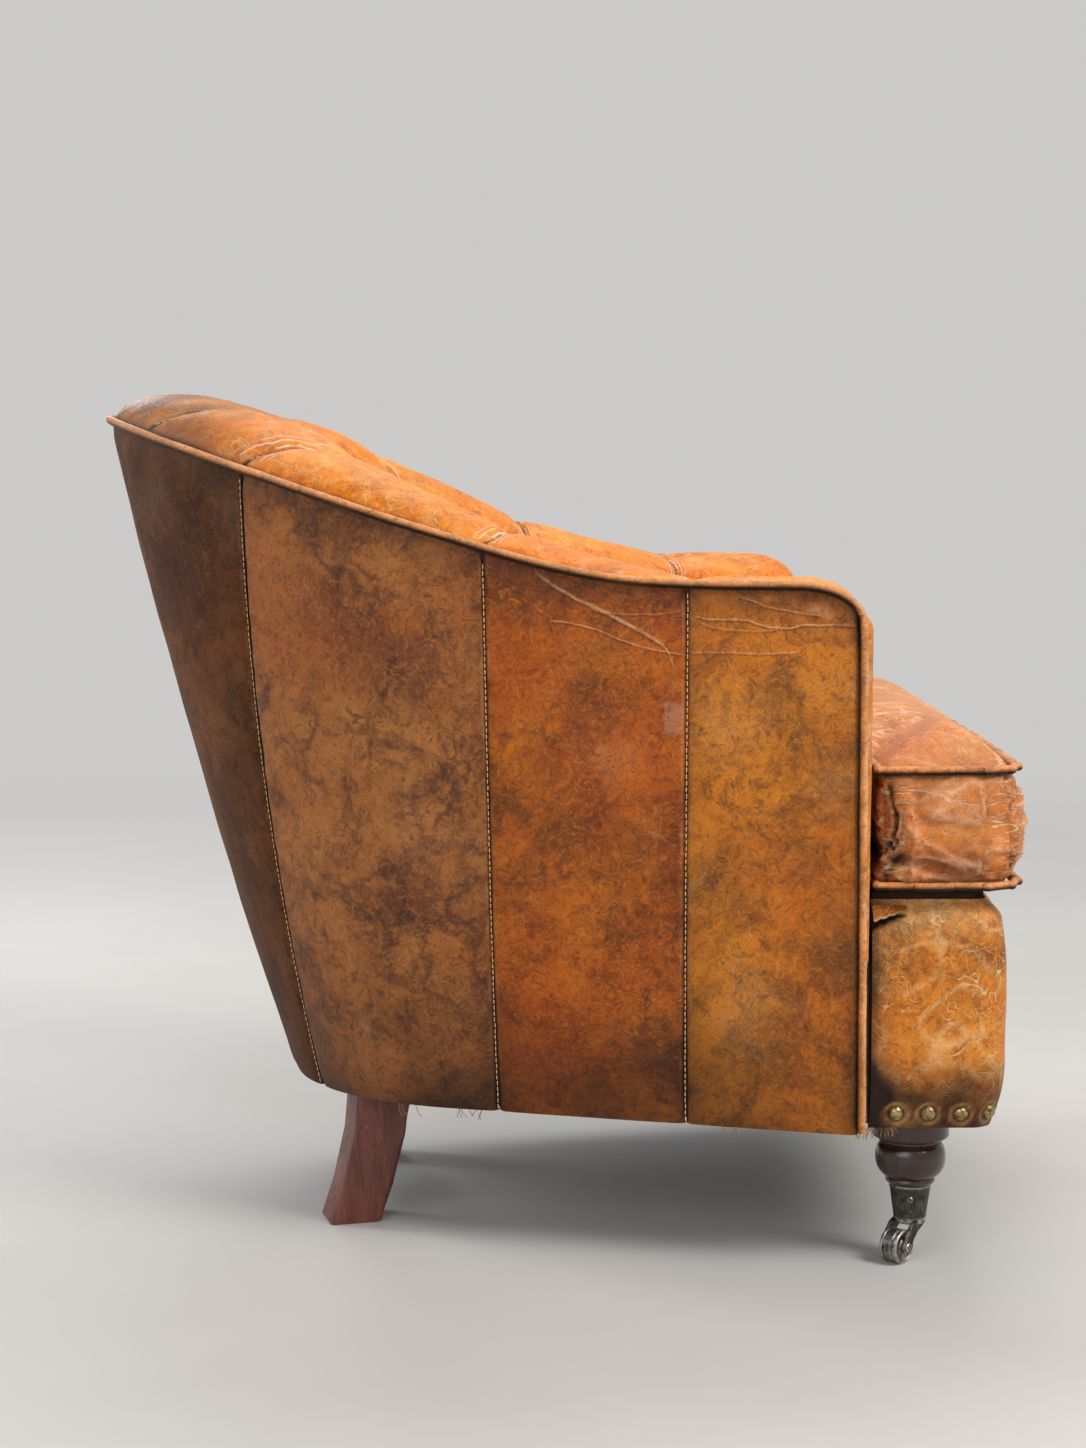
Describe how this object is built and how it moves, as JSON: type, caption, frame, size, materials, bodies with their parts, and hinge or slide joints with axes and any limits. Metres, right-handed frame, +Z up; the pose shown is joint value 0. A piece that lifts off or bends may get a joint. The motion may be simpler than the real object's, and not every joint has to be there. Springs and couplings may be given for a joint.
{
  "type": "worn leather club chair",
  "caption": "Worn leather tub club chair with channelled arms and back, a T-shaped seat cushion, turned front legs on swivelling casters and swept rear legs.",
  "frame": {"origin": "on the floor, under the middle of the chair's overall box", "axes": "+X towards the front of the chair, +Z up, +Y towards the sitter's left; the chair is symmetric about Y = 0"},
  "size_m": [0.9059, 0.728, 0.8332],
  "materials": {
    "leather": "worn brown leather with tan patches, creases and scratches",
    "leather_inner": "worn orange-tan leather with crackle and pale creases",
    "piping": "leather-covered piping, rubbed pale on its crown",
    "nail_brass": "antique brass domed nail heads, dark in the recesses",
    "mahogany": "dark glossy stained hardwood, chipped at the feet",
    "hardwood": "plain unfinished frame wood",
    "caster_iron": "dark oxidised metal, bright on worn edges",
    "wheel_metal": "worn bare metal with dirt in the grooves",
    "spring_steel": "plain spring wire",
    "burlap": "padded burlap seat deck",
    "dust_cloth": "thin black lining cloth"
  },
  "bodies": {
    "root": {"arm_channel_left_front": "leather_inner", "arm_channel_left_middle": "leather_inner", "arm_channel_left_rear": "leather_inner", "arm_channel_right_front": "leather_inner", "arm_channel_right_middle": "leather_inner", "arm_channel_right_rear": "leather_inner", "arm_facing_left": "leather", "arm_facing_right": "leather", "arm_post_left": "hardwood", "arm_post_right": "hardwood", "arm_top_rail_left": "hardwood", "arm_top_rail_right": "hardwood", "back_channel_left": "leather_inner", "back_channel_middle": "leather_inner", "back_channel_right": "leather_inner", "back_post_left": "hardwood", "back_post_right": "hardwood", "back_seat_rail": "hardwood", "caster_cup_left": "caster_iron", "caster_cup_right": "caster_iron", "crest_rail": "hardwood", "cushion_piping_bottom": "piping", "cushion_piping_top": "piping", "dust_cover": "dust_cloth", "front_border": "leather", "front_corner_block_left": "hardwood", "front_corner_block_right": "hardwood", "front_leg_left": "mahogany", "front_leg_right": "mahogany", "front_seat_rail": "hardwood", "outer_panel_back": "leather", "outer_panel_left_front": "leather", "outer_panel_left_middle": "leather", "outer_panel_left_rear": "leather", "outer_panel_right_front": "leather", "outer_panel_right_middle": "leather", "outer_panel_right_rear": "leather", "outer_welt": "piping", "rear_corner_block_left": "hardwood", "rear_corner_block_right": "hardwood", "rear_leg_left": "mahogany", "rear_leg_right": "mahogany", "seat_cushion": "leather_inner", "seat_deck": "burlap", "seat_spring_1": "spring_steel", "seat_spring_2": "spring_steel", "seat_spring_3": "spring_steel", "seat_spring_4": "spring_steel", "side_seat_rail_left": "hardwood", "side_seat_rail_right": "hardwood"},
    "left_caster": {"caster_horn_left": "caster_iron", "caster_axle_left": "wheel_metal"},
    "left_wheel": {"caster_wheel_left": "wheel_metal"},
    "right_caster": {"caster_horn_right": "caster_iron", "caster_axle_right": "wheel_metal"},
    "right_wheel": {"caster_wheel_right": "wheel_metal"}
  },
  "joints": [
    {"name": "left_caster_swivel", "type": "hinge", "parent": "root", "child": "left_caster", "pos_m": [0.349, 0.262, 0.04], "axis": [0, 0, 1], "continuous": true},
    {"name": "left_wheel_roll", "type": "hinge", "parent": "left_caster", "child": "left_wheel", "pos_m": [0.33422, 0.27962, 0.0165], "axis": [0.766, 0.6428, 0], "continuous": true},
    {"name": "right_caster_swivel", "type": "hinge", "parent": "root", "child": "right_caster", "pos_m": [0.349, -0.262, 0.04], "axis": [0, 0, 1], "continuous": true},
    {"name": "right_wheel_roll", "type": "hinge", "parent": "right_caster", "child": "right_wheel", "pos_m": [0.33422, -0.27962, 0.0165], "axis": [0.766, -0.6428, 0], "continuous": true}
  ]
}
